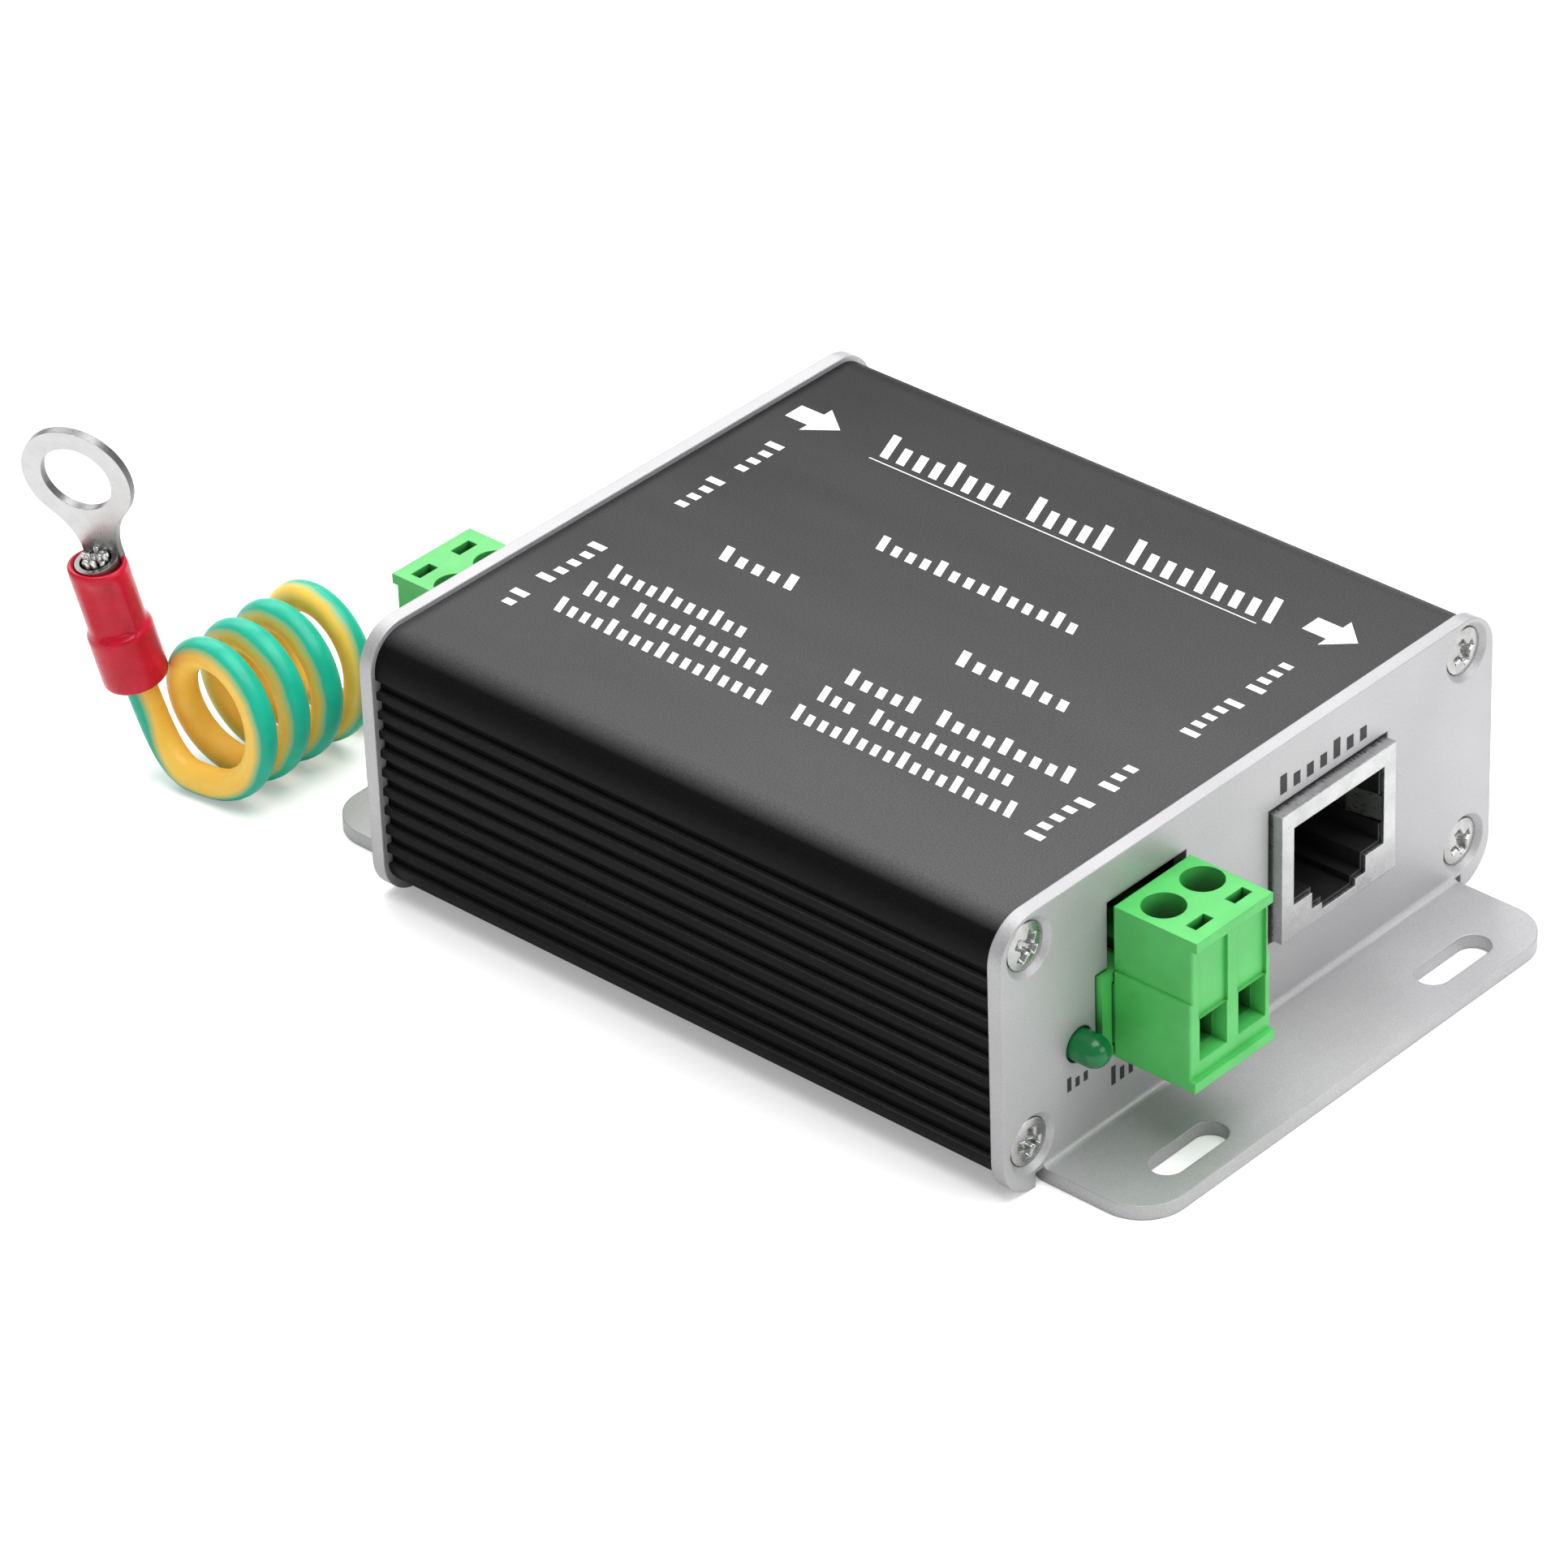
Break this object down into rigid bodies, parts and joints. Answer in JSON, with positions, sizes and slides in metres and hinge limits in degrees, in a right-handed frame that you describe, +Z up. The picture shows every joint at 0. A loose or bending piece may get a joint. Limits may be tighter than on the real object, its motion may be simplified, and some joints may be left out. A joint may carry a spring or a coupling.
{
  "type": "ethernet surge protector",
  "caption": "Network and low-voltage supply surge protector: grooved aluminium box, flanged end plates, shielded jacks, pluggable screw terminals and a coiled earth lead with ring terminal.",
  "frame": {"origin": "on the ground under the middle of the box, between the two end plates", "axes": "+Y along the extrusion from the equipment end to the line end, +X across the end plates from the terminals to the jacks, +Z up"},
  "size_m": [0.0698, 0.1235, 0.0371],
  "materials": {
    "housing_anodised": "satin dark grey anodised",
    "plate_anodised": "fine sand-blasted, silver anodised",
    "screw_steel": "zinc plated, slightly brushed",
    "clamp_steel": "zinc plated",
    "jack_metal": "bright nickel plated",
    "contact_gold": "gold flashed",
    "tinned_metal": "tin plated",
    "jack_plastic": "moulded, black",
    "green_plastic": "moulded polyamide, semi-gloss",
    "lens_green": "tinted, clear",
    "board_laminate": "green solder mask",
    "tube_ceramic": "glazed ceramic",
    "varistor_coat": "dipped epoxy",
    "chip_epoxy": "moulded epoxy",
    "fuse_body": "dipped resin",
    "wire_insulation": "green and yellow PVC, semi-matt",
    "sleeve_red": "soft vinyl, semi-gloss",
    "grommet_black": "matt",
    "print_black": "printed ink",
    "print_white": "printed ink"
  },
  "bodies": {
    "enclosure": {"housing_extrusion": "housing_anodised", "circuit_board": "board_laminate", "line_gas_tubes": "tube_ceramic", "suppressor_arrays": "chip_epoxy", "decoupling_resistors": "chip_epoxy", "power_varistors": "varistor_coat", "power_gas_tube": "tube_ceramic", "thermal_fuses": "fuse_body", "status_led": "lens_green", "status_led_legs": "tinned_metal", "cable_grommet": "grommet_black", "earth_terminal": "tinned_metal", "earth_wire_lead": "wire_insulation", "earth_wire_coil": "wire_insulation", "earth_wire_tail": "wire_insulation", "ring_terminal": "tinned_metal", "ring_sleeve": "sleeve_red", "earth_wire_strands": "tinned_metal", "out_end_plate": "plate_anodised", "out_plate_screws": "screw_steel", "out_jack_shield": "jack_metal", "out_jack_insulator": "jack_plastic", "out_jack_contacts": "contact_gold", "out_header": "green_plastic", "out_header_pins": "tinned_metal", "in_end_plate": "plate_anodised", "in_plate_screws": "screw_steel", "in_jack_shield": "jack_metal", "in_jack_insulator": "jack_plastic", "in_jack_contacts": "contact_gold", "in_header": "green_plastic", "in_header_pins": "tinned_metal"},
    "out_plug": {"out_plug_housing": "green_plastic", "out_plug_sockets": "tinned_metal"},
    "out_clamp_screw_a_body": {"out_clamp_screw_a": "clamp_steel"},
    "out_clamp_cage_a_body": {"out_clamp_cage_a": "clamp_steel"},
    "out_clamp_screw_b_body": {"out_clamp_screw_b": "clamp_steel"},
    "out_clamp_cage_b_body": {"out_clamp_cage_b": "clamp_steel"},
    "in_plug": {"in_plug_housing": "green_plastic", "in_plug_sockets": "tinned_metal"},
    "in_clamp_screw_a_body": {"in_clamp_screw_a": "clamp_steel"},
    "in_clamp_cage_a_body": {"in_clamp_cage_a": "clamp_steel"},
    "in_clamp_screw_b_body": {"in_clamp_screw_b": "clamp_steel"},
    "in_clamp_cage_b_body": {"in_clamp_cage_b": "clamp_steel"}
  },
  "joints": [
    {"name": "out_plug_pull", "type": "slide", "parent": "enclosure", "child": "out_plug", "axis": [0, -1, 0], "range_m": [0, 0.0095]},
    {"name": "out_screw_a_turn", "type": "hinge", "parent": "out_plug", "child": "out_clamp_screw_a_body", "pos_m": [-0.01644, -0.0405, 0.0194], "axis": [0, 0, -1], "range_deg": [0, 1656]},
    {"name": "out_cage_a_lift", "type": "slide", "parent": "out_plug", "child": "out_clamp_cage_a_body", "axis": [0, 0, 1], "range_m": [0, 0.0023]},
    {"name": "out_screw_b_turn", "type": "hinge", "parent": "out_plug", "child": "out_clamp_screw_b_body", "pos_m": [-0.01136, -0.0405, 0.0194], "axis": [0, 0, -1], "range_deg": [0, 1656]},
    {"name": "out_cage_b_lift", "type": "slide", "parent": "out_plug", "child": "out_clamp_cage_b_body", "axis": [0, 0, 1], "range_m": [0, 0.0023]},
    {"name": "in_plug_pull", "type": "slide", "parent": "enclosure", "child": "in_plug", "axis": [0, 1, 0], "range_m": [0, 0.0055]},
    {"name": "in_screw_a_turn", "type": "hinge", "parent": "in_plug", "child": "in_clamp_screw_a_body", "pos_m": [-0.01196, 0.0405, 0.0194], "axis": [0, 0, -1], "range_deg": [0, 1656]},
    {"name": "in_cage_a_lift", "type": "slide", "parent": "in_plug", "child": "in_clamp_cage_a_body", "axis": [0, 0, 1], "range_m": [0, 0.0023]},
    {"name": "in_screw_b_turn", "type": "hinge", "parent": "in_plug", "child": "in_clamp_screw_b_body", "pos_m": [-0.01704, 0.0405, 0.0194], "axis": [0, 0, -1], "range_deg": [0, 1656]},
    {"name": "in_cage_b_lift", "type": "slide", "parent": "in_plug", "child": "in_clamp_cage_b_body", "axis": [0, 0, 1], "range_m": [0, 0.0023]}
  ],
  "couplings": [
    {"joint": "out_screw_a_turn", "follows": "out_cage_a_lift", "rad_per_m": 12566},
    {"joint": "out_screw_b_turn", "follows": "out_cage_b_lift", "rad_per_m": 12566},
    {"joint": "in_screw_a_turn", "follows": "in_cage_a_lift", "rad_per_m": 12566},
    {"joint": "in_screw_b_turn", "follows": "in_cage_b_lift", "rad_per_m": 12566}
  ]
}
